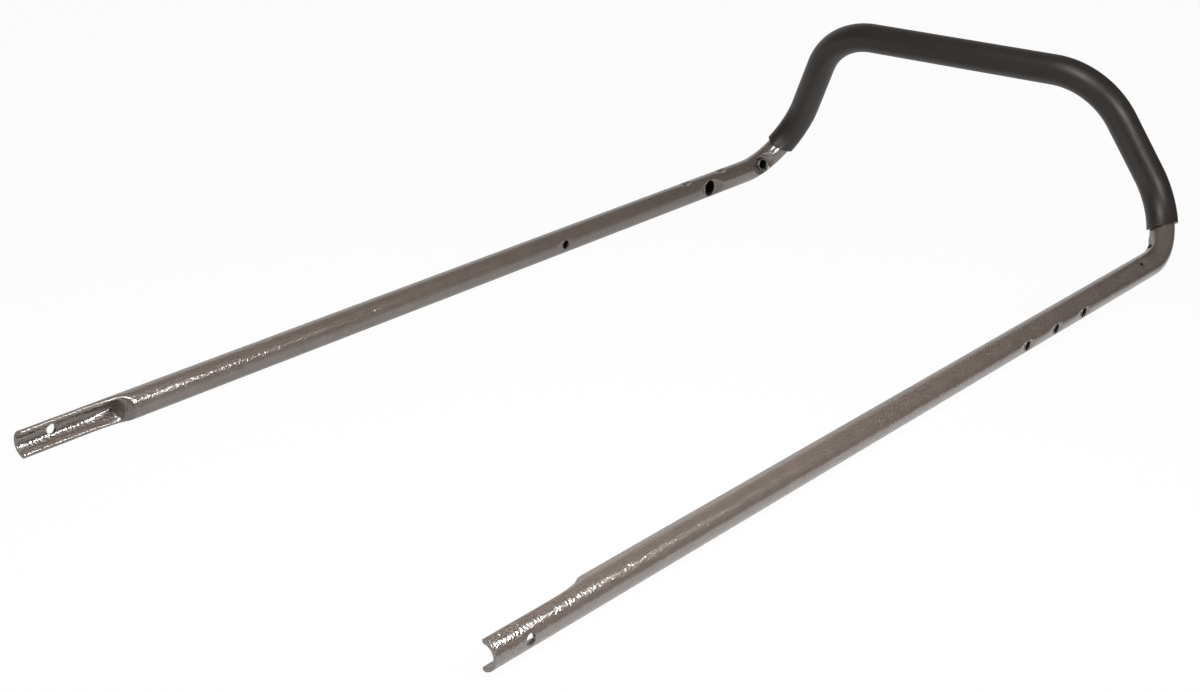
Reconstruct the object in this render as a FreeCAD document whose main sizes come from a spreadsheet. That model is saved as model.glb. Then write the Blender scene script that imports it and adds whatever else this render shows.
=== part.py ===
"""Upper handle of a walk-behind lawn mower: one bent steel tube with cupped ends, and a grip sleeve.

X runs across the handle, +Y along the legs towards the grip, +Z up. The legs lie on the ground at z = 0
and the grip loop stands up from them. The origin is the middle of the footprint. Millimetres, degrees.
"""
import FreeCAD, Part
import Sketcher

import math
import os

V = FreeCAD.Vector
UP = V(0, 0, 1)
ACROSS = V(1, 0, 0)
ALONG = V(0, 1, 0)

# Driving dimensions
SIZES = [
    ("tube_diameter", 25.4, "outside of the bent steel tube"),
    ("wall_thickness", 1.5, "wall of the tube"),
    ("leg_spacing", 506, "between the centre lines of the two legs"),
    ("straight_leg", 993, "leg end to the start of its bend"),
    ("leg_bend_radius", 67, "centre line of the bend at the top of a leg"),
    ("lift_angle", 105, "plane of the loop, turned up from the legs' own direction"),
    ("side_lean", 27, "lean of each side of the loop towards the middle"),
    ("side_length", 200, "side of the loop, between the sharp corners of its centre line"),
    ("corner_radius", 84, "centre line of the two upper corners"),
    ("grip_wall", 3.1, "thickness of the grip sleeve"),
    ("grip_fit", 0.1, "gap between the sleeve and the tube, all round"),
    ("grip_end_turn", 53, "how far into the leg bend the sleeve stops"),
    ("grip_edge", 1.0, "rounding of the sleeve's two rims"),
    ("cup_length", 84, "straight part of the cupped end"),
    ("cup_run_out", 21, "slope from the cup's floor up to the full tube"),
    ("lip_width", 4.2, "folded lip along each side of the cup"),
    ("bolt_hole", 9.5, "bolt hole through the cup's floor"),
    ("bolt_inset", 34, "leg end to the bolt hole"),
    ("guide_hole", 9.4, "small side holes"),
    ("guide_dish", 28, "pressed rim round a small side hole"),
    ("guide_dish_depth", 1.4, "depth of that rim"),
    ("guide_drop", 334, "bend start down to the left leg's inner hole"),
    ("control_drop", 164.5, "bend start down to the first of the right leg's outer holes"),
    ("control_pitch", 55.5, "between the right leg's outer holes"),
    ("control_turn", 6.3, "turn of those holes, down from the outer side"),
    ("cable_hole", 18.2, "large inner hole of the left leg"),
    ("cable_dish", 41, "pressed rim round the large hole"),
    ("cable_dish_depth", 4.3, "depth of that rim"),
    ("cable_drop", 78.5, "bend start down to the large hole"),
    ("screw_hole", 5.4, "screw holes near the top of the legs"),
    ("screw_dish", 19, "dimple round a screw hole"),
    ("screw_dish_depth", 1.9, "depth of the dimple"),
    ("screw_drop", 48.5, "bend start down to the left leg's upper screw hole"),
    ("screw_pitch", 66.5, "between the left leg's screw holes"),
    ("right_screw_drop", 29, "bend start down to the right leg's screw hole"),
    ("right_screw_turn", 30, "turn of that hole, from the top to the outer side"),
    ("seat_diameter", 19.5, "round flat seat pressed into each leg bend"),
    ("seat_depth", 3, "crown of the tube down to the flat of the seat"),
    ("seat_hole", 10.2, "hole in the middle of the seat"),
    ("seat_turn", 20.5, "how far into the leg bend the seat lies"),
    ("seat_rise", 15.5, "tilt of the seat above the inner side of the tube"),
]
CONTROL_HOLES = 3
SCREW_HOLES = 2

doc = FreeCAD.newDocument("MowerHandle")
sheet = doc.addObject("Spreadsheet::Sheet", "Sizes")
for row, (alias, value, meaning) in enumerate(SIZES, start=1):
    sheet.set(f"A{row}", meaning)
    sheet.set(f"B{row}", str(value))
    sheet.setAlias(f"B{row}", alias)
doc.recompute()

# Values that follow from the driving dimensions
tube_radius = sheet.tube_diameter / 2
sleeve_bore = tube_radius + sheet.grip_fit
sleeve_radius = sleeve_bore + sheet.grip_wall
leg_end = -(sheet.straight_leg + sheet.leg_bend_radius + sleeve_radius) / 2
bend_start = leg_end + sheet.straight_leg
cup_depth = tube_radius - 2 * sheet.wall_thickness

# How far a pressing or punching tool stands clear of the tube, and the width of a backing block
CLEAR = sheet.tube_diameter
CLEAR_RULE = "Sizes.tube_diameter"
BACKING_SIZE = 4 * sheet.tube_diameter
BACKING_RULE = "4 * Sizes.tube_diameter"


# Bent centre line
def unit(vector):
    return vector / vector.Length


def bend_at(before, corner, after, radius):
    """The arc that rounds a corner of the centre line, touching both straight runs."""
    way_in = unit(corner - before)
    way_out = unit(after - corner)
    turn = way_in.getAngle(way_out)
    start = corner - way_in * (radius * math.tan(turn / 2))
    inward = unit(way_out - way_in * way_in.dot(way_out))
    return {"start": start, "way": way_in, "inward": inward, "radius": radius, "turn": turn}


def on_bend(bend, turned):
    """Point, direction of travel and inward direction after turning this far (radians) into a bend."""
    inward = bend["inward"] * math.cos(turned) - bend["way"] * math.sin(turned)
    way = bend["way"] * math.cos(turned) + bend["inward"] * math.sin(turned)
    centre = bend["start"] + bend["inward"] * bend["radius"]
    return centre - inward * bend["radius"], way, inward


def arc_edge(bend, first, last):
    points = [on_bend(bend, first + (last - first) * part)[0] for part in (0, 0.5, 1)]
    return Part.Arc(*points).toShape()


def line_edge(first, last):
    return Part.LineSegment(first, last).toShape()


def mirrored(vector):
    return V(-vector.x, vector.y, vector.z)


lift = math.radians(sheet.lift_angle)
lean = math.radians(sheet.side_lean)
side_way = V(math.sin(lean), math.cos(lean) * math.cos(lift), math.cos(lean) * math.sin(lift))
leg_tip = V(-sheet.leg_spacing / 2, leg_end, tube_radius)
half_turn = math.acos(side_way.y) / 2
leg_corner = V(leg_tip.x, bend_start + sheet.leg_bend_radius * math.tan(half_turn), tube_radius)
loop_corner = leg_corner + side_way * sheet.side_length
left_bend = bend_at(leg_tip, leg_corner, loop_corner, sheet.leg_bend_radius)
left_corner = bend_at(leg_corner, loop_corner, mirrored(loop_corner), sheet.corner_radius)
right_corner = bend_at(loop_corner, mirrored(loop_corner), mirrored(leg_corner), sheet.corner_radius)
right_bend = bend_at(mirrored(loop_corner), mirrored(leg_corner), mirrored(leg_tip), sheet.leg_bend_radius)


def centre_line(name, skipped_turn, leg_cut):
    """Centre line of the handle; without legs if it starts inside the leg bends."""
    bends = [left_bend, left_corner, right_corner, right_bend]
    first_turn = [skipped_turn, 0, 0, 0]
    last_turn = [bend["turn"] for bend in bends]
    last_turn[-1] -= skipped_turn
    edges = []
    if leg_cut is not None:
        edges.append(line_edge(leg_tip + ALONG * leg_cut, left_bend["start"]))
    for i, bend in enumerate(bends):
        if i > 0:
            previous = bends[i - 1]
            edges.append(line_edge(on_bend(previous, previous["turn"])[0], bend["start"]))
        edges.append(arc_edge(bend, first_turn[i], last_turn[i]))
    if leg_cut is not None:
        right_end = on_bend(right_bend, right_bend["turn"])[0]
        edges.append(line_edge(right_end, mirrored(leg_tip + ALONG * leg_cut)))
    path = doc.addObject("Part::Feature", name)
    path.Shape = Part.Wire(edges)
    return path


def swept_rod(name, path, start, way, radius_rule):
    """Round bar of the given radius along a centre line."""
    circle = doc.addObject("Part::Circle", name + "_section")
    circle.setExpression("Radius", radius_rule)
    circle.Placement = FreeCAD.Placement(start, FreeCAD.Rotation(UP, way))
    sweep = doc.addObject("Part::Sweep", name)
    sweep.Sections = [circle]
    sweep.Spine = (path, [f"Edge{i + 1}" for i in range(len(path.Shape.Edges))])
    sweep.Solid = True
    return sweep


def joined(name, pieces):
    group = doc.addObject("Part::MultiFuse", name)
    group.Shapes = pieces
    return group


def cut(name, base, tool):
    result = doc.addObject("Part::Cut", name)
    result.Base = base
    result.Tool = tool
    return result


def mirror_copy(name, source):
    """The same shape on the other leg."""
    copy = doc.addObject("Part::Mirroring", name)
    copy.Source = source
    copy.Normal = ACROSS
    return copy


# Cupped end: the inner side of the tube is pressed in until it lies on the outer wall
def cup_profile(name, along_rule, rise_rule):
    """Section of the pressing die, a round nose between two hollowed shoulders that form the lips.

    The sketch looks down the left leg from its open end: its x points to the other leg, its y up.
    """
    lip = sheet.lip_width / 2
    reach = tube_radius + CLEAR
    lip_height = tube_radius - lip
    nose_half = tube_radius - 2 * lip
    nose_drop = cup_depth - lip
    nose_radius = (nose_half ** 2 + nose_drop ** 2) / (2 * nose_drop)
    nose_centre = V(nose_radius - cup_depth, 0, 0)
    nose_angle = math.atan2(nose_half, -lip - nose_centre.x)
    corners = [V(-lip, tube_radius, 0), V(-lip, reach, 0), V(reach, reach, 0),
               V(reach, -reach, 0), V(-lip, -reach, 0), V(-lip, -tube_radius, 0)]

    sketch = doc.addObject("Sketcher::SketchObject", name)
    for first, last in zip(corners, corners[1:]):
        sketch.addGeometry(Part.LineSegment(first, last))
    upper, lower, nose = 5, 6, 7
    quarter = math.pi / 2
    for height in (lip_height, -lip_height):
        sketch.addGeometry(Part.ArcOfCircle(Part.Circle(V(-lip, height, 0), UP, lip), -quarter, quarter))
    nose_circle = Part.Circle(nose_centre, UP, nose_radius)
    sketch.addGeometry(Part.ArcOfCircle(nose_circle, nose_angle, 2 * math.pi - nose_angle))

    start, end, centre, axis = 1, 2, 3, -1
    rules = []
    for line in range(4):
        rules.append(("Coincident", line, end, line + 1, start))
    rules += [("Coincident", upper, end, 0, start), ("Coincident", upper, start, nose, start),
              ("Coincident", nose, end, lower, end), ("Coincident", lower, start, 4, end)]
    rules += [("Vertical", 0), ("Horizontal", 1), ("Horizontal", 3), ("Vertical", 4)]
    rules += [("Symmetric", 2, start, 2, end, axis), ("Symmetric", upper, centre, lower, centre, axis),
              ("Equal", upper, lower)]
    for arc in (upper, lower):
        rules += [("Vertical", arc, start, arc, centre), ("Vertical", arc, centre, arc, end)]
    for rule in rules:
        sketch.addConstraint(Sketcher.Constraint(*rule))

    reach_rule = f"Sizes.tube_diameter / 2 + {CLEAR_RULE}"
    sized = [
        ("lip_round", ("Radius", upper, lip), "Sizes.lip_width / 2"),
        ("lip_set_in", ("DistanceX", upper, centre, axis, start, lip), "Sizes.lip_width / 2"),
        ("lip_outside", ("DistanceY", axis, start, upper, end, tube_radius), "Sizes.tube_diameter / 2"),
        ("shoulder_reach", ("DistanceX", axis, start, 2, start, reach), reach_rule),
        ("shoulder_height", ("DistanceY", axis, start, 2, start, reach), reach_rule),
        ("nose_round", ("Radius", nose, nose_radius), None),
    ]
    for label, values, rule in sized:
        index = sketch.addConstraint(Sketcher.Constraint(*values))
        sketch.renameConstraint(index, label)
        if rule:
            sketch.setExpression("Constraints." + label, rule)
    half_rule = "(Sizes.tube_diameter / 2 - Sizes.lip_width)"
    drop_rule = "(Sizes.tube_diameter / 2 - 2 * Sizes.wall_thickness - Sizes.lip_width / 2)"
    sketch.setExpression("Constraints.nose_round", f"({half_rule}^2 + {drop_rule}^2) / (2 * {drop_rule})")

    sketch.Placement = FreeCAD.Placement(leg_tip, FreeCAD.Rotation(ACROSS, UP, -ALONG))
    sketch.setExpression("Placement.Base.y", f"{leg_end} + {along_rule}")
    sketch.setExpression("Placement.Base.x", f"-Sizes.leg_spacing / 2 + {rise_rule}")
    return sketch


die_rise = cup_depth + tube_radius + sheet.wall_thickness
rise_rule = "Sizes.tube_diameter - Sizes.wall_thickness"
sections = [
    cup_profile("cup_section_end", "-" + CLEAR_RULE, "0"),
    cup_profile("cup_section_floor", "Sizes.cup_length", "0"),
    cup_profile("cup_section_top", "Sizes.cup_length + Sizes.cup_run_out", rise_rule),
]
cup_die = doc.addObject("Part::Loft", "cup_die")
cup_die.Sections = sections
cup_die.Solid = True
cup_die.Ruled = True

# The bore stops one wall short of the slope that the die leaves
slope = unit(V(die_rise, sheet.cup_run_out, 0))
slope_out = UP.cross(slope)
slope_foot = leg_tip + ALONG * sheet.cup_length - ACROSS * cup_depth + slope_out * sheet.wall_thickness
cup_backing = doc.addObject("Part::Box", "cup_backing")
for side in ("Length", "Width", "Height"):
    cup_backing.setExpression(side, BACKING_RULE)
backing_corner = slope_foot - (slope + UP) * (BACKING_SIZE / 2) - slope_out * BACKING_SIZE
cup_backing.Placement = FreeCAD.Placement(backing_corner, FreeCAD.Rotation(slope, slope_out, UP))


# Punched holes, most of them with a rim pressed in round them
def punch(name, point, out, diameter_rule, depth_rule):
    """Round tool that goes in from outside the tube to the given depth below a point of its surface."""
    tool = doc.addObject("Part::Cylinder", name)
    tool.setExpression("Radius", f"({diameter_rule}) / 2")
    tool.setExpression("Height", f"{depth_rule} + {CLEAR_RULE}")
    tool.Placement = FreeCAD.Placement(point + out * CLEAR, FreeCAD.Rotation(UP, -out))
    return tool


def ball(name, point, out, size, growth_rule):
    """Ball that leaves the dish of the named size; growth makes it larger all round."""
    width_rule, depth_rule = f"Sizes.{size}_dish", f"Sizes.{size}_dish_depth"
    width, depth = getattr(sheet, f"{size}_dish"), getattr(sheet, f"{size}_dish_depth")
    radius = ((width / 2) ** 2 + depth ** 2) / (2 * depth)
    tool = doc.addObject("Part::Sphere", name)
    radius_rule = f"(({width_rule} / 2)^2 + {depth_rule}^2) / (2 * {depth_rule})"
    tool.setExpression("Radius", f"{radius_rule} + {growth_rule}")
    tool.Placement.Base = point + out * (radius - depth)
    return tool


presses = []
backings = []
holes = []


def dished_hole(name, point, out, size):
    """Hole with a shallow dish: the wall follows the dish into the bore."""
    presses.append(ball(name + "_dish", point, out, size, "0"))
    backings.append(ball(name + "_backing", point, out, size, "Sizes.wall_thickness"))
    holes.append(punch(name, point, out, f"Sizes.{size}_hole", "Sizes.tube_diameter / 2"))


left_axis = V(leg_tip.x, bend_start, tube_radius)
right_axis = mirrored(left_axis)
dished_hole("guide_hole", left_axis + ACROSS * tube_radius - ALONG * sheet.guide_drop, ACROSS, "guide")
dished_hole("cable_hole", left_axis + ACROSS * tube_radius - ALONG * sheet.cable_drop, ACROSS, "cable")
control_turn = math.radians(sheet.control_turn)
control_out = ACROSS * math.cos(control_turn) - UP * math.sin(control_turn)
for i in range(CONTROL_HOLES):
    drop = sheet.control_drop + i * sheet.control_pitch
    control_point = right_axis + control_out * tube_radius - ALONG * drop
    dished_hole(f"control_hole_{i + 1}", control_point, control_out, "guide")
for i in range(SCREW_HOLES):
    drop = sheet.screw_drop + i * sheet.screw_pitch
    dished_hole(f"screw_hole_{i + 1}", left_axis + UP * tube_radius - ALONG * drop, UP, "screw")
right_screw_turn = math.radians(sheet.right_screw_turn)
right_screw_out = UP * math.cos(right_screw_turn) + ACROSS * math.sin(right_screw_turn)
right_screw_point = right_axis + right_screw_out * tube_radius - ALONG * sheet.right_screw_drop
dished_hole("right_screw_hole", right_screw_point, right_screw_out, "screw")

# Flat seat in the bend, tilted up from the inner side; the other leg has its mirror image
seat_centre, _, seat_inward = on_bend(left_bend, math.radians(sheet.seat_turn))
bend_normal = left_bend["way"].cross(left_bend["inward"])
inner_tilt = math.atan2(left_bend["inward"].x, bend_normal.x)
seat_tilt = math.radians(sheet.seat_rise) + inner_tilt
seat_out = bend_normal * math.cos(seat_tilt) + seat_inward * math.sin(seat_tilt)
seat_point = seat_centre + seat_out * tube_radius
seat = punch("seat", seat_point, seat_out, "Sizes.seat_diameter", "Sizes.seat_depth")
seat_backing = punch("seat_backing", seat_point, seat_out, "Sizes.seat_diameter + 2 * Sizes.wall_thickness",
                     "Sizes.seat_depth + Sizes.wall_thickness")
seat_hole = punch("seat_hole", seat_point, seat_out, "Sizes.seat_hole", "Sizes.tube_diameter / 2")

# Bolt hole through the floor of the cup, drilled from the outer side
bolt_point = leg_tip - ACROSS * tube_radius + ALONG * sheet.bolt_inset
bolt_hole = punch("bolt_hole", bolt_point, -ACROSS, "Sizes.bolt_hole", "Sizes.tube_diameter / 2")

for tool, group in ((cup_die, presses), (seat, presses), (cup_backing, backings), (seat_backing, backings),
                    (seat_hole, holes), (bolt_hole, holes)):
    group += [tool, mirror_copy(tool.Name + "_right", tool)]

# Handle tube
outer_line = centre_line("tube_line", 0, 0)
bore_line = centre_line("bore_line", 0, sheet.cup_length)
tube_outside = swept_rod("tube_outside", outer_line, leg_tip, ALONG, "Sizes.tube_diameter / 2")
tube_bore = swept_rod("tube_bore", bore_line, leg_tip + ALONG * sheet.cup_length, ALONG,
                      "Sizes.tube_diameter / 2 - Sizes.wall_thickness")
pressed_tube = cut("pressed_tube", tube_outside, joined("press_tools", presses))
pressed_bore = cut("pressed_bore", tube_bore, joined("press_backings", backings))
hollow_tube = cut("hollow_tube", pressed_tube, pressed_bore)
handle_tube = cut("handle_tube", hollow_tube, joined("hole_punches", holes))

# Grip sleeve over the loop, from inside one leg bend to inside the other
skipped = math.radians(sheet.grip_end_turn)
sleeve_line = centre_line("sleeve_line", skipped, None)
sleeve_start, sleeve_way, _ = on_bend(left_bend, skipped)
bore_rule = "Sizes.tube_diameter / 2 + Sizes.grip_fit"
sleeve_outside = swept_rod("sleeve_outside", sleeve_line, sleeve_start, sleeve_way,
                           bore_rule + " + Sizes.grip_wall")
sleeve_inside = swept_rod("sleeve_inside", sleeve_line, sleeve_start, sleeve_way, bore_rule)
sleeve = cut("sleeve", sleeve_outside, sleeve_inside)
doc.recompute()


def end_rims(shape, ends, radius):
    """Numbers of the circular edges of this radius round the sleeve's ends."""
    numbers = []
    for number, edge in enumerate(shape.Edges, start=1):
        middle = edge.BoundBox.Center
        near_end = min((middle - end).Length for end in ends) < radius / 2
        if near_end and abs(edge.Length - 2 * math.pi * radius) < 0.1:
            numbers.append(number)
    return numbers


grip_sleeve = doc.addObject("Part::Fillet", "grip_sleeve")
grip_sleeve.Base = sleeve
rims = end_rims(sleeve.Shape, [sleeve_start, mirrored(sleeve_start)], sleeve_radius)
grip_sleeve.Edges = [(number, sheet.grip_edge, sheet.grip_edge) for number in rims]
doc.recompute()

# Checks, then one file for each piece
nodes = [handle_tube, grip_sleeve]
for item in doc.Objects:
    if "Invalid" in item.State or "Error" in item.State:
        raise RuntimeError(f"{item.Name} failed: {item.State}")
if len(rims) != 2:
    raise RuntimeError(f"expected two sleeve rims, found {len(rims)}")
os.makedirs("parts", exist_ok=True)
for node in nodes:
    node.Label = node.Name
    shape = node.Shape
    if shape.isNull() or not shape.isValid() or len(shape.Solids) != 1:
        raise RuntimeError(f"{node.Label} is not one valid solid")
    shape.exportStep(f"parts/{node.Label}.step")
    box = shape.BoundBox
    print(f"{node.Label}: {shape.Volume:.0f} mm3, x {box.XMin:.2f}..{box.XMax:.2f},"
          f" y {box.YMin:.2f}..{box.YMax:.2f}, z {box.ZMin:.2f}..{box.ZMax:.2f}")
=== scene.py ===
# %% [markdown]
# # A lawn mower handle
# The handle is one steel tube, bent into a long loop, with a soft sleeve pushed over the part that the
# hands hold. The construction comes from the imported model, which is loaded first and never changed. Here
# both pieces are modelled again with finer meshes, then painted, lit and seen from the photograph's side.

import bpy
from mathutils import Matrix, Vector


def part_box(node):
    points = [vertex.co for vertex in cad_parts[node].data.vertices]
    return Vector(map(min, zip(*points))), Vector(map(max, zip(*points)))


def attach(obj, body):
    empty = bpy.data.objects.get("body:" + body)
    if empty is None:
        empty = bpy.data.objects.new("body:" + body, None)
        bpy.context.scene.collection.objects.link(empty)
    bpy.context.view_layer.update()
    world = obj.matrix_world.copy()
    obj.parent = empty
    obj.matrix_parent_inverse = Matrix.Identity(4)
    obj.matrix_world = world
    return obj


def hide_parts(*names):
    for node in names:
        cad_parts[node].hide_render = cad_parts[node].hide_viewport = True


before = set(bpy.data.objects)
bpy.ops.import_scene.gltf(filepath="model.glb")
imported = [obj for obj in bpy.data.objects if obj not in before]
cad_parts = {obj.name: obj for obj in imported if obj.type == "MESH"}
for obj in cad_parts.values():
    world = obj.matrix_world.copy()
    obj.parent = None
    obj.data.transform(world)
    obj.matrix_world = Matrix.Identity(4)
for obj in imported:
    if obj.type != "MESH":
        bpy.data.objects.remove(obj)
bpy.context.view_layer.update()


# %% [markdown]
# ## The sizes
# A bent tube is given by a few numbers, the same that a bending machine would be set to: the straight
# lengths, the radius of each bend and how far it turns. The sides of the loop are lifted from the direction
# of the legs and lean inward. The sleeve begins part of the way round the bend, with a slanted end.
# Everything else follows from these numbers, and only the place where the legs end is read from the frame.

# %% Sizes of the handle, in metres and radians
import math

import bpy
import numpy as np
from mathutils import Matrix, Vector

MM = 0.001
TUBE_RADIUS = 12.7 * MM
WALL = 1.5 * MM
BORE_RADIUS = TUBE_RADIUS - WALL
LEG_X = 253 * MM
STRAIGHT_LEG = 993 * MM
LEG_BEND = 67 * MM
LOOP_CORNER = 84 * MM
SIDE_LENGTH = 200 * MM
LIFT = math.radians(105)
LEAN = math.radians(27)
SLEEVE_RADIUS = 15.9 * MM
SLEEVE_WALL = 3.1 * MM
SLEEVE_TURN = math.radians(54)
SLEEVE_SLANT = math.radians(24)
print("tube, mm:", round(2 * TUBE_RADIUS / MM, 1), "outside,", round(2 * BORE_RADIUS / MM, 1), "inside")

# %% Route of the tube
leg_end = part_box("handle_tube")[0].y
ACROSS, ALONG, UP = Vector((1, 0, 0)), Vector((0, 1, 0)), Vector((0, 0, 1))


def mirrored(vector):
    """The same place or direction on the other side of the handle."""
    return Vector((-vector.x, vector.y, vector.z))


def arc_at(before, corner, after, radius):
    """The arc that rounds a corner: its start, the way in, the inward way, its radius and its turn."""
    way = (corner - before).normalized()
    way_out = (after - corner).normalized()
    turn = way.angle(way_out)
    start = corner - way * (radius * math.tan(turn / 2))
    inward = (way_out - way * way.dot(way_out)).normalized()
    return {"start": start, "way": way, "inward": inward, "radius": radius, "turn": turn}


def along_arc(arc, turned):
    """Point, direction of travel and inward direction after turning this far into an arc."""
    inward = arc["inward"] * math.cos(turned) - arc["way"] * math.sin(turned)
    way = arc["way"] * math.cos(turned) + arc["inward"] * math.sin(turned)
    centre = arc["start"] + arc["inward"] * arc["radius"]
    return centre - inward * arc["radius"], way, inward


side_way = Vector((math.sin(LEAN), math.cos(LEAN) * math.cos(LIFT), math.cos(LEAN) * math.sin(LIFT)))
leg_tip = Vector((-LEG_X, leg_end, TUBE_RADIUS))
leg_reach = STRAIGHT_LEG + LEG_BEND * math.tan(math.acos(side_way.y) / 2)
leg_corner = leg_tip + ALONG * leg_reach
loop_corner = leg_corner + side_way * SIDE_LENGTH
left_bend = arc_at(leg_tip, leg_corner, loop_corner, LEG_BEND)
left_corner = arc_at(leg_corner, loop_corner, mirrored(loop_corner), LOOP_CORNER)
right_corner = arc_at(loop_corner, mirrored(loop_corner), mirrored(leg_corner), LOOP_CORNER)
right_bend = arc_at(mirrored(loop_corner), mirrored(leg_corner), mirrored(leg_tip), LEG_BEND)
arcs = [left_bend, left_corner, right_corner, right_bend]
print("turns in degrees:", [round(math.degrees(arc["turn"]), 2) for arc in arcs])

# %% [markdown]
# ## Sweeping a tube by hand
# A curve with a round bevel would also give a bent tube, but its rings can't be packed closer where a
# detail needs them. So the tube grows the way one would model it by hand: a ring of points is extruded
# along each straight run and spun round the centre of each bend. Spin turns against the right-hand rule
# here, so its axis is the inward direction crossed with the direction of travel.

# %% Sweep helpers
SHORTEST_SPAN = 0.1 * MM


def facing(out):
    """The turn that points a primitive's own Z axis in a direction."""
    return out.to_track_quat("Z", "X").to_euler()


def new_ring(name, radius, sides, centre, way):
    """A ring of points square to a direction, left open in edit mode and selected."""
    bpy.ops.object.select_all(action="DESELECT")
    bpy.ops.mesh.primitive_circle_add(vertices=sides, radius=radius, location=centre, rotation=facing(way))
    ring = bpy.context.object
    ring.name = name
    bpy.ops.object.transform_apply(location=True, rotation=True, scale=True)
    bpy.ops.object.mode_set(mode="EDIT")
    bpy.ops.mesh.select_all(action="SELECT")
    return ring


def run(way, spans):
    """Extrude the selected ring along a straight run, given as (length, steps) spans."""
    for length, steps in spans:
        for _ in range(steps):
            bpy.ops.mesh.extrude_region_move(TRANSFORM_OT_translate={"value": way * (length / steps)})


def turn(arc, spans):
    """Spin the selected ring round an arc, given as (angle, steps) spans."""
    centre = arc["start"] + arc["inward"] * arc["radius"]
    axis = arc["inward"].cross(arc["way"])
    for angle, steps in spans:
        bpy.ops.mesh.spin(steps=steps, angle=angle, center=centre, axis=axis)


def close_and_leave():
    """Cap the open ends, point every face outwards and go back to object mode."""
    bpy.ops.mesh.select_all(action="SELECT")
    bpy.ops.mesh.fill_holes(sides=0)
    bpy.ops.mesh.normals_make_consistent(inside=False)
    bpy.ops.object.mode_set(mode="OBJECT")


def straight_between(first, second):
    """Length of the straight run from the end of one arc to the start of the next."""
    return (second["start"] - along_arc(first, first["turn"])[0]).length


def spans_with_detail(length, places, fine, coarse):
    """(length, steps) spans along a run, close together round each (place, half width)."""
    marks = [0.0]
    for place, half in sorted(places):
        marks += [max(place - half, marks[-1]), min(place + half, length)]
    marks.append(length)
    spans = []
    for i, (first, last) in enumerate(zip(marks, marks[1:])):
        step = fine if i % 2 else coarse
        if last - first > SHORTEST_SPAN:
            spans.append((last - first, math.ceil((last - first) / step)))
    return spans


print("straight side of the loop, mm:", round(straight_between(left_bend, left_corner) / MM, 1))

# %% [markdown]
# ## Where the details are
# The lower end of each leg is pressed into a cup. Nearer the grip there are holes for cables, screws and
# the control lever. A hole can't be punched cleanly in a round wall, so the punch first presses a dish:
# it is flat round the hole and slopes up until it meets the tube again. The holes of the left leg face its
# inner side or straight up. On the right leg the control holes face the outer side and a little down, and
# the screw hole is turned from the top towards the outer side. At the start of each bend a deeper dish is
# the seat of the lever, with a raised ring round its hole. Distances are counted from the end of a leg.

# %% Places of the pressed details
LEFT_SCOOP, RIGHT_SCOOP = (91 * MM, 103 * MM), (88 * MM, 109 * MM)
LIP_END = (64 * MM, 106 * MM)
BOLT = {"at": 34 * MM, "hole": 4.75 * MM}
GUIDE = {"hole": 4.7 * MM, "flat": 5.2 * MM, "sink": 1.4 * MM, "slope": 0.18}
CABLE = {"hole": 9.1 * MM, "flat": 9.7 * MM, "sink": 4.3 * MM, "slope": 0.42}
SCREW = {"hole": 2.7 * MM, "flat": 3.0 * MM, "sink": 1.9 * MM, "slope": 0.35}
SEAT = {"hole": 5.1 * MM, "flat": 9.2 * MM, "sink": 6.2 * MM, "slope": 1.1}
SEAT_TURN = math.radians(20.5)
SEAT_RISE = math.radians(15.5)
DISH_ROUND, DISH_EDGE = 2.0 * MM, 0.8 * MM
GUIDE_AT, CABLE_AT, LEFT_SCREWS_AT = 659 * MM, 914.5 * MM, (944.5 * MM, 878 * MM)
CONTROLS_AT, CONTROL_TURN = (828.5 * MM, 773 * MM, 717.5 * MM), math.radians(6.3)
RIGHT_SCREW_AT, RIGHT_SCREW_TURN = 964 * MM, math.radians(30)

control_out = ACROSS * math.cos(CONTROL_TURN) - UP * math.sin(CONTROL_TURN)
right_screw_out = UP * math.cos(RIGHT_SCREW_TURN) + ACROSS * math.sin(RIGHT_SCREW_TURN)
left_holes = [(GUIDE_AT, ACROSS, GUIDE), (CABLE_AT, ACROSS, CABLE)]
left_holes += [(at, UP, SCREW) for at in LEFT_SCREWS_AT]
right_holes = [(at, control_out, GUIDE) for at in CONTROLS_AT]
right_holes.append((RIGHT_SCREW_AT, right_screw_out, SCREW))
print("holes in the left leg:", len(left_holes), "in the right leg:", len(right_holes))

# %% [markdown]
# ### Rings where they are needed
# A pressed detail needs rings about a millimetre apart, and a plain stretch hardly any. So each leg is
# divided into spans, with close steps across every dish and the upper end of the cup, and long steps
# between them. The tube under the sleeve can't be seen, so it gets few rings too.

# %% Spacing of the rings
FINE, COARSE = 1.1 * MM, 24 * MM
CUP_END = 110.5 * MM
BEND_STEPS, HIDDEN_STEPS = 60, 10


def dish_reach(kind):
    """How far from the middle of its hole a dish still presses the tube."""
    return kind["flat"] + DISH_ROUND / 2 + (kind["sink"] + DISH_EDGE) / kind["slope"]


def leg_spans(holes, start):
    """Spans of one leg from a distance above its end up to the bend."""
    places = [(at, dish_reach(kind)) for at, _, kind in holes]
    if start == 0:
        cup_end = (LIP_END[0], CUP_END)
        places.append((sum(cup_end) / 2, (cup_end[1] - cup_end[0]) / 2))
    from_start = [(at - start, half) for at, half in places]
    return spans_with_detail(STRAIGHT_LEG - start, from_start, FINE, COARSE)


bend_spans = [(SLEEVE_TURN, BEND_STEPS), (left_bend["turn"] - SLEEVE_TURN, HIDDEN_STEPS)]
hidden_spans = [(left_corner["turn"], HIDDEN_STEPS)]
print("rings on a bend:", sum(steps for _, steps in bend_spans))

# %% [markdown]
# ## The bare tube and its bore
# The outside is swept from the end of one leg round to the end of the other. The bore is a second, thinner
# sweep that starts above the cups, where the tube is still round. It will be taken out of the first one
# once both have been pressed.

# %% Sweep the tube and the bore
TUBE_SIDES, BORE_SIDES = 96, 40
BORE_START = 112 * MM
SIDE_STEPS, TOP_STEPS = 2, 4


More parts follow.
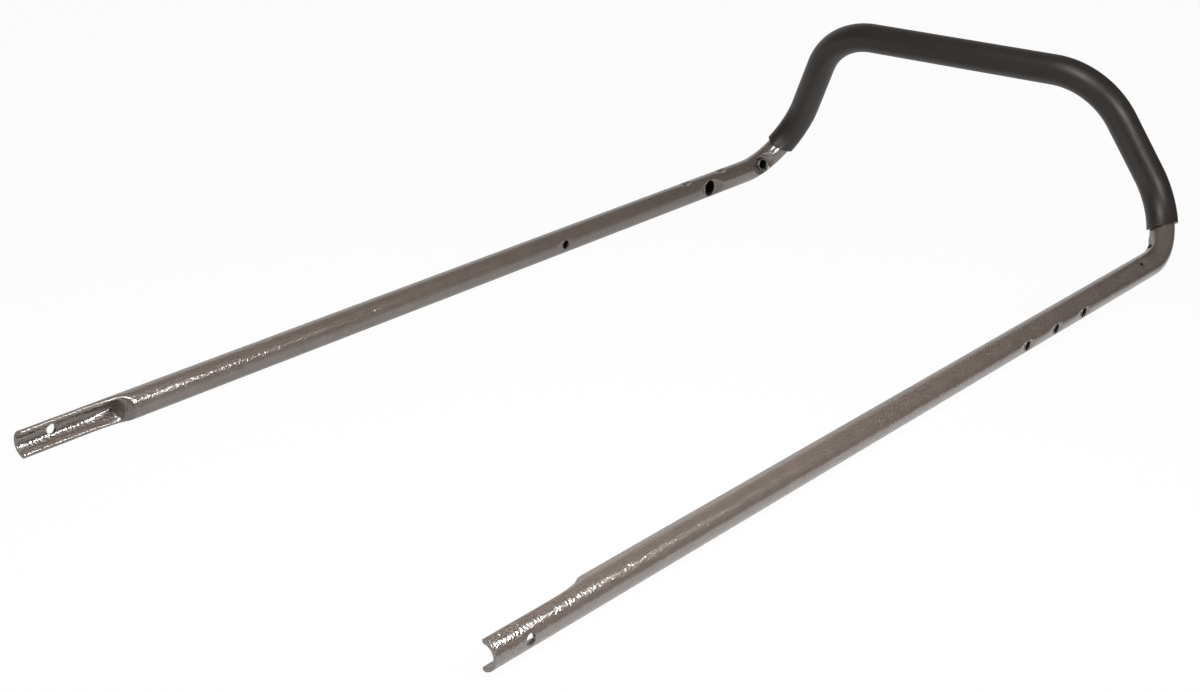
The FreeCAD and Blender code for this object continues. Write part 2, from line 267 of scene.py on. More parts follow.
def sweep_handle(name, radius, sides, start):
    """A closed rod along the whole handle, starting this far above the ends of the legs."""
    rod = new_ring(name, radius, sides, leg_tip + ALONG * start, ALONG)
    run(ALONG, leg_spans(left_holes, start))
    turn(left_bend, bend_spans)
    run(side_way, [(straight_between(left_bend, left_corner), SIDE_STEPS)])
    turn(left_corner, hidden_spans)
    run(ACROSS, [(straight_between(left_corner, right_corner), TOP_STEPS)])
    turn(right_corner, hidden_spans)
    run(-mirrored(side_way), [(straight_between(right_corner, right_bend), SIDE_STEPS)])
    turn(right_bend, bend_spans[::-1])
    run(-ALONG, leg_spans(right_holes, start)[::-1])
    close_and_leave()
    return rod


tube = sweep_handle("handle_tube_body", TUBE_RADIUS, TUBE_SIDES, 0)
bore = sweep_handle("bore", BORE_RADIUS, BORE_SIDES, BORE_START)
print("tube points:", len(tube.data.vertices), "bore points:", len(bore.data.vertices))

# %% [markdown]
# ## Pressing the cups
# In the factory a die pushes the inner side of the tube in until it lies on the outer side, which leaves a
# channel with two fat folded lips. The same is done here with the points of the mesh: each point of the
# inner side slides to the place at the same share of the way round the pressed section. That section is
# three arcs that touch each other smoothly: the tube itself, the fold of the lip and the floor. The floor
# stays deep and ends in a scoop, steep on the left leg and longer and gentler on the right one, while the
# lips come together over a longer run.

# %% Section of a cup
LIP_RADIUS = 2.1 * MM
FLOOR = -(TUBE_RADIUS - 2 * WALL)

lip_ring = TUBE_RADIUS - LIP_RADIUS
lip_angle = math.acos(-LIP_RADIUS / lip_ring)
lip_height = lip_ring * math.sin(lip_angle)
floor_to_lip = FLOOR + LIP_RADIUS
nose_radius = (floor_to_lip ** 2 + lip_height ** 2 - LIP_RADIUS ** 2) / (2 * (LIP_RADIUS - floor_to_lip))
nose_centre = nose_radius + FLOOR
join_angle = math.atan2(lip_height, -LIP_RADIUS - nose_centre)
nose_length = nose_radius * (math.pi - join_angle)
section_length = nose_length + LIP_RADIUS * (lip_angle - join_angle + math.pi)
print("slot width, mm:", round(2 * nose_radius / MM, 2))


# %% Press the cups
def smooth(share):
    """A share from 0 to 1 that starts and stops gently."""
    share = np.clip(share, 0, 1)
    return share * share * (3 - 2 * share)


def points_of(piece):
    """The points of a piece's mesh as rows of x, y and z."""
    flat = np.empty(len(piece.data.vertices) * 3)
    piece.data.vertices.foreach_get("co", flat)
    return flat.reshape(-1, 3)


def set_points(piece, points):
    """Move the points of a piece's mesh to these places."""
    piece.data.vertices.foreach_set("co", points.ravel())
    piece.data.update()


def pressed_section(angle):
    """Where a point at this angle from the middle of the inner side lands, inward and up from the axis."""
    distance = np.abs(angle) / lip_angle * section_length
    on_floor = math.pi - distance / nose_radius
    on_lip = join_angle - math.pi + (distance - nose_length) / LIP_RADIUS
    is_floor = distance < nose_length
    inward = np.where(is_floor, nose_centre + nose_radius * np.cos(on_floor),
                      -LIP_RADIUS + LIP_RADIUS * np.cos(on_lip))
    height = np.where(is_floor, nose_radius * np.sin(on_floor), lip_height + LIP_RADIUS * np.sin(on_lip))
    return inward, height * np.sign(angle)


def pressed_amount(distance, angle, side):
    """How far the die has pushed a point, from 0 on the round tube to 1 in the finished cup."""
    scoop_start = np.where(side < 0, LEFT_SCOOP[0], RIGHT_SCOOP[0])
    scoop_end = np.where(side < 0, LEFT_SCOOP[1], RIGHT_SCOOP[1])
    floor = 1 - smooth((distance - scoop_start) / (scoop_end - scoop_start))
    lip = 1 - smooth((distance - LIP_END[0]) / (LIP_END[1] - LIP_END[0]))
    return floor + (lip - floor) * smooth(np.abs(angle) / lip_angle)


def press_cups(piece):
    """Press both cups into a piece and count the points that moved."""
    points = points_of(piece)
    side = np.sign(points[:, 0])
    inward = LEG_X - side * points[:, 0]
    height = points[:, 2] - TUBE_RADIUS
    angle = np.arctan2(height, inward)
    distance = points[:, 1] - leg_end
    pressed = (distance < CUP_END) & (np.abs(angle) < lip_angle) & (np.abs(inward) < 2 * TUBE_RADIUS)
    amount = pressed_amount(distance, angle, side)
    to_inward, to_height = pressed_section(angle)
    new_inward = inward + (to_inward - inward) * amount
    new_height = height + (to_height - height) * amount
    points[pressed, 0] = (side * (LEG_X - new_inward))[pressed]
    points[pressed, 2] = (TUBE_RADIUS + new_height)[pressed]
    set_points(piece, points)
    return int(pressed.sum())


print("points pressed into cups:", press_cups(tube))

# %% [markdown]
# ## Pressing the dishes
# A punch drags the wall in with it, so the tube and the bore get the same dish and the wall stays as thick
# as it was. Each point goes down to the lower of two heights, its own and the dish's, with a rounded edge
# where the two meet.

# %% Press the dishes
def press_dish(piece, place, out, kind, inset):
    """Press a dish into the side of a piece that faces out, this much deeper for the inner wall."""
    points = points_of(piece)
    offset = points - np.array(place)
    height = offset @ np.array(out)
    radius = np.linalg.norm(offset - np.outer(height, out), axis=1)
    beyond = np.clip(radius - kind["flat"], 0, None)
    climb = np.where(beyond < DISH_ROUND, beyond ** 2 / (2 * DISH_ROUND), beyond - DISH_ROUND / 2)
    dish = kind["slope"] * climb - kind["sink"] - inset
    overlap = np.clip(DISH_EDGE - np.abs(height - dish), 0, None)
    lower = np.minimum(height, dish) - overlap ** 2 / (4 * DISH_EDGE)
    near = (np.abs(height) < TUBE_RADIUS) & (radius < dish_reach(kind))
    set_points(piece, points + np.outer(np.where(near, lower - height, 0), out))


def hole_places():
    """Each punched hole of the legs as its place on the tube, the direction it faces and its kind."""
    for side, holes in ((-1, left_holes), (1, right_holes)):
        for at, out, kind in holes:
            axis_point = Vector((side * LEG_X, leg_end + at, TUBE_RADIUS))
            yield axis_point + out * TUBE_RADIUS, out, kind


seat_centre, _, seat_inward = along_arc(left_bend, SEAT_TURN)
bend_normal = left_bend["way"].cross(left_bend["inward"])
# The seat is turned from the bend's own leaning plane to straight across, and then up by its rise.
seat_tilt = SEAT_RISE + math.atan2(left_bend["inward"].x, bend_normal.x)
seat_out = bend_normal * math.cos(seat_tilt) + seat_inward * math.sin(seat_tilt)
seat_place = seat_centre + seat_out * TUBE_RADIUS
seats = [(seat_place, seat_out, SEAT), (mirrored(seat_place), mirrored(seat_out), SEAT)]
dished = list(hole_places()) + seats
for place, out, kind in dished:
    press_dish(tube, place, out, kind, 0)
    press_dish(bore, place, out, kind, WALL)
print("dishes:", len(dished))

# %% [markdown]
# ## Boring and punching
# Now Boolean modifiers do what the machines do. The bore is taken out, the ring in each seat is put on, a
# small bead goes round the edge of each side hole, where the punch raised it, and all holes are punched at
# once. The tools are plain round bars and rings: they only lend their edge. Faces that touch exactly can
# upset a Boolean, so each bead is set a hair aside of the faces that it joins.

# %% Boolean tools
TOOL_SIDES, BEAD_SIDES = 64, 16


def bar(place, out, radius, low, high):
    """A round bar along a direction, between two heights over a place."""
    middle = place + out * ((low + high) / 2)
    bpy.ops.mesh.primitive_cylinder_add(vertices=TOOL_SIDES, radius=radius, depth=high - low,
                                        location=middle, rotation=facing(out))
    return bpy.context.object


def bead(place, out, radius, thickness, height):
    """A round ring that lies square to a direction, at a height over a place."""
    bpy.ops.mesh.primitive_torus_add(major_radius=radius, minor_radius=thickness,
                                     major_segments=TOOL_SIDES, minor_segments=BEAD_SIDES,
                                     location=place + out * height, rotation=facing(out))
    return bpy.context.object


def combine(piece, operation, tools):
    """Join the tools, apply them to a piece with one Boolean modifier and remove them."""
    bpy.ops.object.select_all(action="DESELECT")
    for tool in tools:
        tool.select_set(True)
    bpy.context.view_layer.objects.active = tools[0]
    if len(tools) > 1:
        bpy.ops.object.join()
    cut = piece.modifiers.new("cut", "BOOLEAN")
    cut.operation = operation
    cut.solver = "EXACT"
    cut.object = tools[0]
    bpy.ops.object.select_all(action="DESELECT")
    bpy.context.view_layer.objects.active = piece
    bpy.ops.object.modifier_apply(modifier=cut.name)
    bpy.data.objects.remove(tools[0])


print("the seat faces:", [round(c, 3) for c in seat_out])

# %% Bore, add the rings and punch
RING_OUTER, RING_TOP = 7.6 * MM, 1.2 * MM
BEAD = 0.45 * MM
CLEAR = 0.08 * MM
ABOVE = TUBE_RADIUS

ring_round = (RING_OUTER - SEAT["hole"]) / 2
ring_middle = (RING_OUTER + SEAT["hole"]) / 2
ring_shoulder = -RING_TOP - ring_round
ring_foot = -SEAT["sink"] - WALL / 2

combine(tube, "DIFFERENCE", [bore])
rings = [bar(place, out, RING_OUTER, ring_foot, ring_shoulder) for place, out, _ in seats]
combine(tube, "UNION", rings)
beads = []
for place, out, _ in seats:
    beads.append(bead(place, out, ring_middle, ring_round - CLEAR, ring_shoulder - CLEAR))
for place, out, kind in hole_places():
    if kind is GUIDE:
        beads.append(bead(place, out, kind["hole"] + BEAD / 2, BEAD, CLEAR - kind["sink"]))
combine(tube, "UNION", beads)

punches = [bar(place, out, kind["hole"], -TUBE_RADIUS, ABOVE) for place, out, kind in dished]
for side in (-1, 1):
    outer = Vector((side * (LEG_X + TUBE_RADIUS), leg_end + BOLT["at"], TUBE_RADIUS))
    punches.append(bar(outer, ACROSS * side, BOLT["hole"], -TUBE_RADIUS, ABOVE))
punched = len(punches)
combine(tube, "DIFFERENCE", punches)
print("holes punched:", punched, "faces:", len(tube.data.polygons))

# %% [markdown]
# ## Cleaning up
# Where a cut runs close to an edge of the mesh, a Boolean leaves points that almost lie on each other, and
# the thin faces between them shade badly. Merging the points that are closer than a hundredth of a
# millimetre takes them away. Faces that meet at a small angle are then shaded as one smooth surface, and
# the rims of the holes stay sharp.

# %% Clean and shade the tube
MERGE = 0.01 * MM
TUBE_SMOOTH_BELOW = math.radians(35)

bpy.ops.object.select_all(action="DESELECT")
tube.select_set(True)
bpy.context.view_layer.objects.active = tube
points_before = len(tube.data.vertices)
bpy.ops.object.mode_set(mode="EDIT")
bpy.ops.mesh.select_all(action="SELECT")
bpy.ops.mesh.remove_doubles(threshold=MERGE)
bpy.ops.object.mode_set(mode="OBJECT")
bpy.ops.object.shade_smooth_by_angle(angle=TUBE_SMOOTH_BELOW)
print("points merged:", points_before - len(tube.data.vertices))

# %% [markdown]
# ## The grip sleeve
# The sleeve is an extruded soft tube that was blown on over the bends. It is swept the same way, from
# inside one leg bend to inside the other. It was cut square before it was bent, so on the outer side of the
# bend, where the way is longer, it ends sooner: a slanted plane trims each end. Its mouth is stiff and
# stands a little off the tube there. Solidify gives it its wall and Bevel takes the sharp edge off.

# %% Sweep the sleeve
SLEEVE_SIDES = 96
SLEEVE_BEND_STEPS, SLEEVE_SIDE_STEPS, SLEEVE_TOP_STEPS = 30, 12, 24

sleeve_end, _, sleeve_inward = along_arc(left_bend, SLEEVE_TURN)
slant_way = along_arc(left_bend, SLEEVE_TURN + SLEEVE_SLANT)[1]
untrimmed = SLEEVE_TURN - SLEEVE_SLANT / 2
ring_centre, ring_way, _ = along_arc(left_bend, untrimmed)
sleeve = new_ring("grip_sleeve_body", SLEEVE_RADIUS, SLEEVE_SIDES, ring_centre, ring_way)
rest_turn = left_bend["turn"] - untrimmed
turn(left_bend, [(rest_turn, SLEEVE_BEND_STEPS)])
run(side_way, [(straight_between(left_bend, left_corner), SLEEVE_SIDE_STEPS)])
turn(left_corner, [(left_corner["turn"], SLEEVE_BEND_STEPS)])
run(ACROSS, [(straight_between(left_corner, right_corner), SLEEVE_TOP_STEPS)])
turn(right_corner, [(right_corner["turn"], SLEEVE_BEND_STEPS)])
run(-mirrored(side_way), [(straight_between(right_corner, right_bend), SLEEVE_SIDE_STEPS)])
turn(right_bend, [(rest_turn, SLEEVE_BEND_STEPS)])
print("untrimmed sleeve starts", round(math.degrees(untrimmed), 1), "degrees into the bend")

# %% Trim and flare its ends
FLARE, FLARE_REACH = 1.0 * MM, 22 * MM

for end, way in ((sleeve_end, slant_way), (mirrored(sleeve_end), mirrored(slant_way))):
    bpy.ops.mesh.select_all(action="SELECT")
    bpy.ops.mesh.bisect(plane_co=end, plane_no=way, clear_inner=True)
bpy.ops.mesh.select_all(action="SELECT")
bpy.ops.mesh.normals_make_consistent(inside=False)
bpy.ops.object.mode_set(mode="OBJECT")

points = points_of(sleeve)
for end, outward in ((sleeve_end, -sleeve_inward), (mirrored(sleeve_end), -mirrored(sleeve_inward))):
    offset = points - np.array(end)
    reach = np.linalg.norm(offset, axis=1)
    near = smooth((FLARE_REACH + SLEEVE_RADIUS - reach) / FLARE_REACH)
    towards = np.clip(offset @ np.array(outward) / SLEEVE_RADIUS, 0, 1)
    points += np.outer(FLARE * near * towards, outward)
set_points(sleeve, points)
print("points of the trimmed sleeve:", len(points))

# %% Give it a wall and a rim
RIM_ROUND, RIM_STEPS, RIM_ANGLE = 0.6 * MM, 3, math.radians(60)
SLEEVE_SMOOTH_BELOW = math.radians(50)

wall = sleeve.modifiers.new("wall", "SOLIDIFY")
wall.thickness = SLEEVE_WALL
wall.offset = -1
wall.use_even_offset = True
bpy.context.view_layer.objects.active = sleeve
bpy.ops.object.modifier_apply(modifier=wall.name)
rim = sleeve.modifiers.new("rim", "BEVEL")
rim.limit_method = "ANGLE"
rim.angle_limit = RIM_ANGLE
rim.width = RIM_ROUND
rim.segments = RIM_STEPS
bpy.ops.object.modifier_apply(modifier=rim.name)
bpy.ops.object.select_all(action="DESELECT")
sleeve.select_set(True)
bpy.ops.object.shade_smooth_by_angle(angle=SLEEVE_SMOOTH_BELOW)
print("sleeve faces:", len(sleeve.data.polygons))

# %% [markdown]
# ## Finishes
# Both finishes share one effect: a soft, cloudy mottle that keeps a large plain surface from looking like
# a flat colour. It is a node group with its own scale, which drives the colour and the roughness of both.
# The helpers come first: they make a node, a new material, a smooth step and a distance in one direction.

# %% Node helpers
def node(tree, kind, **values):
    """A node with its inputs or properties set by name."""
    made = tree.nodes.new(kind)
    for name, value in values.items():
        if name in made.inputs:
            made.inputs[name].default_value = value
        else:
            setattr(made, name, value)
    return made


def new_material(name):
    """An empty material with its output, shader and Object coordinates."""
    material = bpy.data.materials.new(name)
    material.use_nodes = True
    tree = material.node_tree
    tree.nodes.clear()
    output = node(tree, "ShaderNodeOutputMaterial")
    shader = node(tree, "ShaderNodeBsdfPrincipled")
    tree.links.new(shader.outputs["BSDF"], output.inputs["Surface"])
    place = node(tree, "ShaderNodeTexCoord").outputs["Object"]
    return material, tree, shader, place


def fade(tree, source, start, end, low, high):
    """A smooth step of a number, from one value to another."""
    step = node(tree, "ShaderNodeMapRange", interpolation_type="SMOOTHSTEP")
    for socket, value in (("From Min", start), ("From Max", end), ("To Min", low), ("To Max", high)):
        step.inputs[socket].default_value = value
    tree.links.new(source, step.inputs["Value"])
    return step.outputs["Result"]


def along(tree, source, way):
    """How far a vector goes in one direction."""
    product = node(tree, "ShaderNodeVectorMath", operation="DOT_PRODUCT")
    product.inputs[1].default_value = way
    tree.links.new(source, product.inputs[0])
    return product.outputs["Value"]


# %% The shared mottle
MOTTLE_RANGE = (0.3, 0.7)
# A Mix node has sockets for each type of data, and these are the numbers of those for colours.
COLOUR_A, COLOUR_B, COLOUR_OUT = 6, 7, 2


def make_mottle():
    """The node group: noise with its middle range spread to run from 0 to 1."""
    group = bpy.data.node_groups.new("soft_mottle", "ShaderNodeTree")
    group.interface.new_socket("Vector", in_out="INPUT", socket_type="NodeSocketVector")
    group.interface.new_socket("Scale", in_out="INPUT", socket_type="NodeSocketFloat")
    group.interface.new_socket("Mottle", in_out="OUTPUT", socket_type="NodeSocketFloat")
    inlet, outlet = node(group, "NodeGroupInput"), node(group, "NodeGroupOutput")
    cloud = node(group, "ShaderNodeTexNoise", Detail=4.0, Roughness=0.6)
    spread = node(group, "ShaderNodeMapRange")
    spread.inputs["From Min"].default_value, spread.inputs["From Max"].default_value = MOTTLE_RANGE
    group.links.new(inlet.outputs["Vector"], cloud.inputs["Vector"])
    group.links.new(inlet.outputs["Scale"], cloud.inputs["Scale"])
    group.links.new(cloud.outputs["Fac"], spread.inputs["Value"])
    group.links.new(spread.outputs["Result"], outlet.inputs["Mottle"])
    return group


mottle_group = make_mottle()


def mottled(tree, place, scale, low, high, target):
    """Drive a socket from low to high, number or colour, with the shared mottle."""
    cloud = node(tree, "ShaderNodeGroup", node_tree=mottle_group)
    cloud.inputs["Scale"].default_value = scale
    tree.links.new(place, cloud.inputs["Vector"])
    if isinstance(low, tuple):
        mix = node(tree, "ShaderNodeMix", data_type="RGBA")
        mix.inputs[COLOUR_A].default_value, mix.inputs[COLOUR_B].default_value = (*low, 1), (*high, 1)
        tree.links.new(cloud.outputs["Mottle"], mix.inputs[0])
        tree.links.new(mix.outputs[COLOUR_OUT], target)
    else:
        mix = node(tree, "ShaderNodeMapRange")
        mix.inputs["To Min"].default_value, mix.inputs["To Max"].default_value = low, high
        tree.links.new(cloud.outputs["Mottle"], mix.inputs["Value"])
        tree.links.new(mix.outputs["Result"], target)


print(mottle_group.name, "has", len(mottle_group.nodes), "nodes")

# %% [markdown]
# ### Hammered paint
# The tube has a taupe powder coat that dried with a hammered, orange-peel skin. In soft light it looks
# almost smooth, but a lamp's reflection breaks up on it into bright ragged flecks. Small smooth bumps do
# that: rounded cells about two millimetres long and wider than that across the legs. Shade is painted into
# the two seats: a soft ball round each of them darkens the colour. On the bends, where the tube was
# stretched, the skin is smoother.

# %% Hammered paint
PAINT_DARK, PAINT_LIGHT, PAINT_CLOUDS = (0.108, 0.083, 0.068), (0.132, 0.103, 0.086), 60.0
PAINT_ROUGHNESS, GLOSS_CLOUDS = (0.18, 0.24), 140.0
PAINT_IOR = 2.25
CELL_SCALE, CELL_STRETCH, CELL_HEIGHT = 470.0, (0.75, 1.0, 0.75), 0.4 * MM
SEAT_MIDDLE = 4 * MM
# Painted shade in the seats: where it starts and ends round each seat and how dark it gets.
SEAT_SHADE_EDGE, SEAT_PAINTED_SHADE = (7.5 * MM, 9.5 * MM), 0.2
NEAR_BEND, BEND_BUMPS = (330 * MM, 460 * MM), 0.12


def hammered_paint():
    """Taupe paint with a cloudy colour and gloss, painted shade in the seats and a bumpy skin."""
    material, tree, shader, place = new_material("hammered_taupe_paint")
    either_side = node(tree, "ShaderNodeVectorMath", operation="ABSOLUTE")
    from_seat = node(tree, "ShaderNodeVectorMath", operation="DISTANCE")
    from_seat.inputs[1].default_value = mirrored(seat_place - seat_out * SEAT_MIDDLE)
    # Painted shade: the colour is darkened in a soft ball round each seat, on both sides.
    seat_shading = node(tree, "ShaderNodeMix", data_type="RGBA", blend_type="MULTIPLY")
    seat_shading.inputs[0].default_value = 1.0
    tree.links.new(place, either_side.inputs[0])
    tree.links.new(either_side.outputs["Vector"], from_seat.inputs[0])
    painted_seat_shade = fade(tree, from_seat.outputs["Value"], *SEAT_SHADE_EDGE, SEAT_PAINTED_SHADE, 1.0)
    tree.links.new(painted_seat_shade, seat_shading.inputs[COLOUR_B])
    mottled(tree, place, PAINT_CLOUDS, PAINT_DARK, PAINT_LIGHT, seat_shading.inputs[COLOUR_A])
    tree.links.new(seat_shading.outputs[COLOUR_OUT], shader.inputs["Base Color"])
    mottled(tree, place, GLOSS_CLOUDS, *PAINT_ROUGHNESS, shader.inputs["Roughness"])
    shader.inputs["IOR"].default_value = PAINT_IOR
    stretch = node(tree, "ShaderNodeMapping", Scale=CELL_STRETCH)
    cells = node(tree, "ShaderNodeTexNoise", Scale=CELL_SCALE, Detail=1.0, Roughness=0.45)
    bump = node(tree, "ShaderNodeBump", Distance=CELL_HEIGHT)
    bump_strength = fade(tree, along(tree, place, ALONG), *NEAR_BEND, 1.0, BEND_BUMPS)
    tree.links.new(bump_strength, bump.inputs["Strength"])
    tree.links.new(place, stretch.inputs["Vector"])
    tree.links.new(stretch.outputs["Vector"], cells.inputs["Vector"])
    tree.links.new(cells.outputs["Fac"], bump.inputs["Height"])
    tree.links.new(bump.outputs["Normal"], shader.inputs["Normal"])
    return material


paint = hammered_paint()
print(paint.name, "has", len(paint.node_tree.nodes), "nodes")

# %% [markdown]
# ### Grip skin
# The sleeve has a smooth dark skin with a satin sheen and hardly any grain. Real grain is far too fine to
# model, so a very shallow bump only softens the reflections.

# %% Grip skin
GRIP_DARK, GRIP_LIGHT, GRIP_CLOUDS = (0.022, 0.0172, 0.014), (0.027, 0.0212, 0.0175), 45.0
GRIP_ROUGHNESS, SHEEN_CLOUDS = (0.4, 0.46), 90.0
GRIP_IOR = 1.5
GRAIN_SCALE, GRAIN_STRENGTH, GRAIN_HEIGHT = 900.0, 0.4, 0.03 * MM


def grip_skin():
    """Dark skin with a cloudy colour and sheen and a fine grain."""
    material, tree, shader, place = new_material("dark_satin_grip")
    mottled(tree, place, GRIP_CLOUDS, GRIP_DARK, GRIP_LIGHT, shader.inputs["Base Color"])
    mottled(tree, place, SHEEN_CLOUDS, *GRIP_ROUGHNESS, shader.inputs["Roughness"])
    shader.inputs["IOR"].default_value = GRIP_IOR
    grain = node(tree, "ShaderNodeTexNoise", Scale=GRAIN_SCALE, Detail=2.0)
    bump = node(tree, "ShaderNodeBump", Strength=GRAIN_STRENGTH, Distance=GRAIN_HEIGHT)
    tree.links.new(place, grain.inputs["Vector"])
    tree.links.new(grain.outputs["Fac"], bump.inputs["Height"])
    tree.links.new(bump.outputs["Normal"], shader.inputs["Normal"])
    return material


skin = grip_skin()
print(skin.name, "has", len(skin.node_tree.nodes), "nodes")

# %% [markdown]
# ## Dressing the pieces
# Each piece gets its material, takes the place of the plain solid that it stands for, and rides on the one
# rigid body that the handle has.

# %% Dress the pieces
for piece, material, slot, cad_node in ((tube, paint, "tube_paint", "handle_tube"),
                                        (sleeve, skin, "grip_rubber", "grip_sleeve")):
    piece.data.materials.clear()
    piece.data.materials.append(material)
    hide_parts(cad_node)
    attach(piece, "root")
    print(piece.name, "wears", material.name)

# %% [markdown]
# ## Floor
# The handle lies on white paper, and the camera sees white everywhere. In reflections the floor glows with
# painted light: brightest round the right leg, greyer between the legs and light again under the grip, and
# almost dark beyond a line a little to the right of the handle. The handle mirrors this glow as the light
# band along the underside of each leg, and the line gives the band its sharp upper edge. Part of the floor
# is matt, which keeps the handle's shadow.

# %% Floor
FLOOR_SIZE = 30.0

bpy.ops.object.select_all(action="DESELECT")
bpy.ops.mesh.primitive_plane_add(size=FLOOR_SIZE, location=(0, 0, 0))
ground = bpy.context.object
ground.name = "studio_floor"
print(ground.name, "is", FLOOR_SIZE, "m wide")

# %% White paper with a painted glow
FLOOR_GREY = (0.7, 0.7, 0.7, 1)
GLOW_EDGE_WAY = (0.999, 0.035, 0.0)
GLOW_EDGE, GLOW_EDGE_FADE = 296 * MM, 12 * MM
LEFT_GLOW, MIDDLE_GLOW, GLOW_BEYOND_EDGE = 0.65, 0.3, 0.05
LEFT_STRIP = (30 * MM - LEG_X, 70 * MM - LEG_X)
UNDER_GRIP, GLOW_UNDER_GRIP = (360 * MM, 440 * MM), 0.8
GLOW_SHARE = 0.96


def greater(tree, first, second):
    """The greater of two numbers."""
    pick = node(tree, "ShaderNodeMath", operation="MAXIMUM")
    tree.links.new(first, pick.inputs[0])
    tree.links.new(second, pick.inputs[1])
    return pick.outputs[0]


def white_floor():
    """Matt paper that glows white for the camera, and in reflections glows with painted light by where it
    lies.
    """
    material = bpy.data.materials.new("white_paper")
    material.use_nodes = True
    tree = material.node_tree
    tree.nodes.clear()
    output = node(tree, "ShaderNodeOutputMaterial")
    matt = node(tree, "ShaderNodeBsdfDiffuse", Color=FLOOR_GREY)
    glow = node(tree, "ShaderNodeEmission")
    path = node(tree, "ShaderNodeLightPath")
    place = node(tree, "ShaderNodeTexCoord").outputs["Object"]
    # Painted light: how strongly the floor glows in reflections is set by place, brighter or darker.
    from_edge = along(tree, place, GLOW_EDGE_WAY)
    inside = fade(tree, from_edge, GLOW_EDGE - GLOW_EDGE_FADE, GLOW_EDGE + GLOW_EDGE_FADE, 1.0, GLOW_BEYOND_EDGE)
    sideways = along(tree, place, ACROSS)
    left_strip = fade(tree, sideways, *LEFT_STRIP, LEFT_GLOW, MIDDLE_GLOW)
    right_strip = fade(tree, sideways, 0, LEG_X, MIDDLE_GLOW, 1.0)
    under_grip = fade(tree, along(tree, place, ALONG), *UNDER_GRIP, 0, GLOW_UNDER_GRIP)
    across = greater(tree, greater(tree, left_strip, right_strip), under_grip)
    painted_glow = node(tree, "ShaderNodeMath", operation="MULTIPLY")
    tree.links.new(inside, painted_glow.inputs[0])
    tree.links.new(across, painted_glow.inputs[1])
    strength = greater(tree, path.outputs["Is Camera Ray"], painted_glow.outputs[0])
    tree.links.new(strength, glow.inputs["Strength"])
    share = node(tree, "ShaderNodeMath", operation="MULTIPLY")
    share.inputs[1].default_value = GLOW_SHARE
    seen = greater(tree, path.outputs["Is Camera Ray"], path.outputs["Is Glossy Ray"])
    blend = node(tree, "ShaderNodeMixShader")
    tree.links.new(seen, share.inputs[0])
    tree.links.new(share.outputs[0], blend.inputs[0])
    tree.links.new(matt.outputs[0], blend.inputs[1])
    tree.links.new(glow.outputs[0], blend.inputs[2])
    tree.links.new(blend.outputs[0], output.inputs["Surface"])
    return material


ground.data.materials.append(white_floor())
# Where the painted glow of the floor falls away, to the right of the right leg.
print("paper ends", round((GLOW_EDGE - LEG_X) / MM), "mm to the right of the right leg")

# %% [markdown]
# ## Surroundings
# The camera sees a white background. What the handle sees is a dim room with one white wall, on the left
# behind it, which draws a light line along the upper edge of each leg.

# %% World
ROOM_LIGHT, WALL_LIGHT = 0.12, 0.8
WALL_WAY = (-0.87, 0.5, 0.0)
WALL_START, WALL_FULL = 0.6, 0.92

world = bpy.data.worlds.new("studio")
bpy.context.scene.world = world
world.use_nodes = True
tree = world.node_tree
tree.nodes.clear()
world_output = node(tree, "ShaderNodeOutputWorld")
room = node(tree, "ShaderNodeBackground")
path = node(tree, "ShaderNodeLightPath")
heading = along(tree, node(tree, "ShaderNodeTexCoord").outputs["Generated"], WALL_WAY)
wall_glow = fade(tree, heading, WALL_START, WALL_FULL, ROOM_LIGHT, WALL_LIGHT)
tree.links.new(greater(tree, path.outputs["Is Camera Ray"], wall_glow), room.inputs["Strength"])
room.inputs["Color"].default_value = (1, 1, 1, 1)
tree.links.new(room.outputs[0], world_output.inputs["Surface"])
print("the wall is", round(WALL_LIGHT / ROOM_LIGHT, 1), "times as bright as the room")

# %% [markdown]
# ## Lamps
# Three soft boxes light the handle. One hangs over the lower ends and gives most of the light. One stands
# behind on the right with a grid in front of it, so it only shines on the lower ends: its reflection is the
# ragged bright stripe there. A weak one on the right draws the sheen on the corner of the grip.

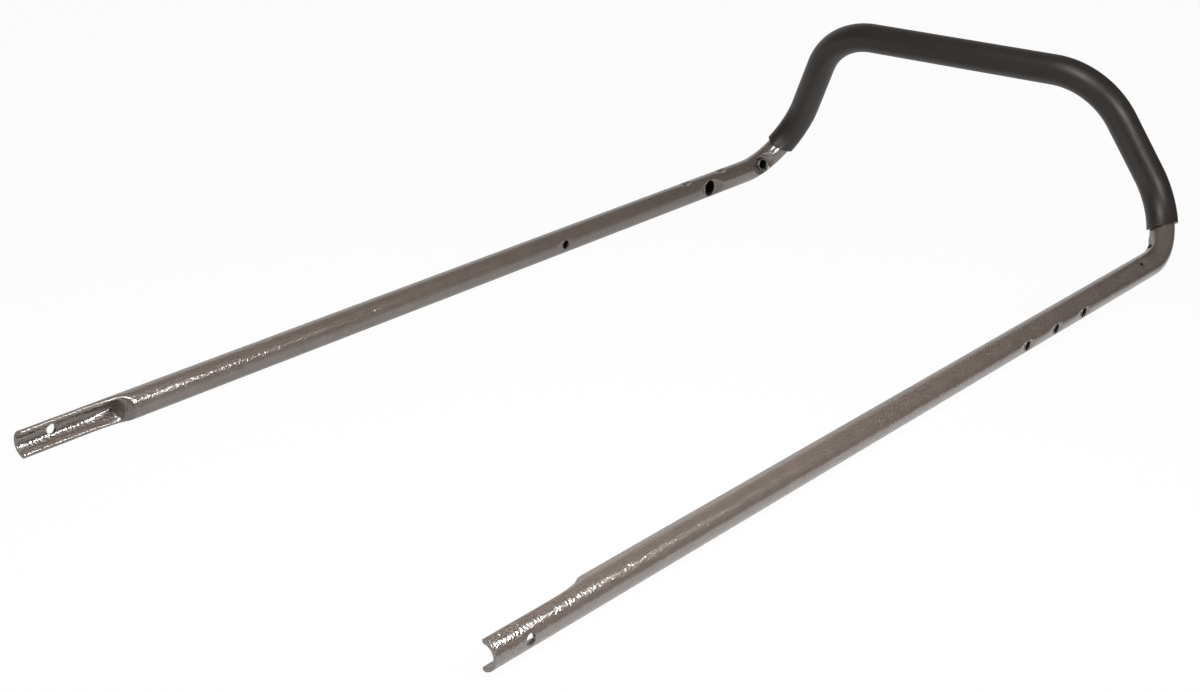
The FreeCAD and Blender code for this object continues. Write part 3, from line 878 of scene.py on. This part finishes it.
# %% Lamps
def soft_box(name, place, aim, size, power, spread=180):
    """A lamp of this width and length that faces a point, its beam narrowed to an angle in degrees."""
    lamp = bpy.data.lights.new(name, "AREA")
    lamp.shape = "RECTANGLE"
    lamp.size, lamp.size_y = size
    lamp.energy, lamp.spread = power, math.radians(spread)
    box = bpy.data.objects.new(name, lamp)
    bpy.context.scene.collection.objects.link(box)
    box.location = place
    box.rotation_euler = (Vector(aim) - Vector(place)).to_track_quat("-Z", "Y").to_euler()
    print(name, "shines", round((Vector(aim) - Vector(place)).length, 2), "m")


soft_box("top_box", place=(0.25, -0.5, 1.1), aim=(0.25, -0.501, 0), size=(0.5, 1.0), power=13.6)
soft_box("stripe_box", place=(1.38, 0.32, 1.22), aim=(0.05, -0.6, 0), size=(0.45, 0.36), power=2.4,
         spread=50)
soft_box("corner_box", place=(1.9, -0.4, 0.7), aim=(0.19, 0.49, 0.15), size=(0.6, 0.6), power=1.8,
         spread=50)

# %% [markdown]
# ## Camera
# The camera stands where the photographer's stood: its place, direction and lens were worked out from the
# outline of the handle in the photograph.

# %% Camera
PHOTO_WIDTH = 1200
FOCAL_PIXELS = 1947.723
SENSOR = 36.0
AZIMUTH, ELEVATION, ROLL = math.radians(39.719), math.radians(21.952), math.radians(0.068)
EYE = Vector((1.0185, -1.3394, 0.6758))

back = Vector((math.sin(AZIMUTH) * math.cos(ELEVATION), -math.cos(AZIMUTH) * math.cos(ELEVATION),
               math.sin(ELEVATION)))
right = Vector((math.cos(AZIMUTH), math.sin(AZIMUTH), 0))
upward = back.cross(right)
right, upward = (right * math.cos(ROLL) + upward * math.sin(ROLL),
                 upward * math.cos(ROLL) - right * math.sin(ROLL))
lens = bpy.data.cameras.new("photo_camera")
lens.sensor_width = SENSOR
lens.lens = FOCAL_PIXELS / PHOTO_WIDTH * SENSOR
camera = bpy.data.objects.new("photo_camera", lens)
bpy.context.scene.collection.objects.link(camera)
camera.matrix_world = Matrix((right, upward, back)).transposed().to_4x4()
camera.location = EYE
bpy.context.scene.camera = camera
bpy.context.scene.view_settings.view_transform = "Standard"
print("lens, mm:", round(lens.lens, 2))
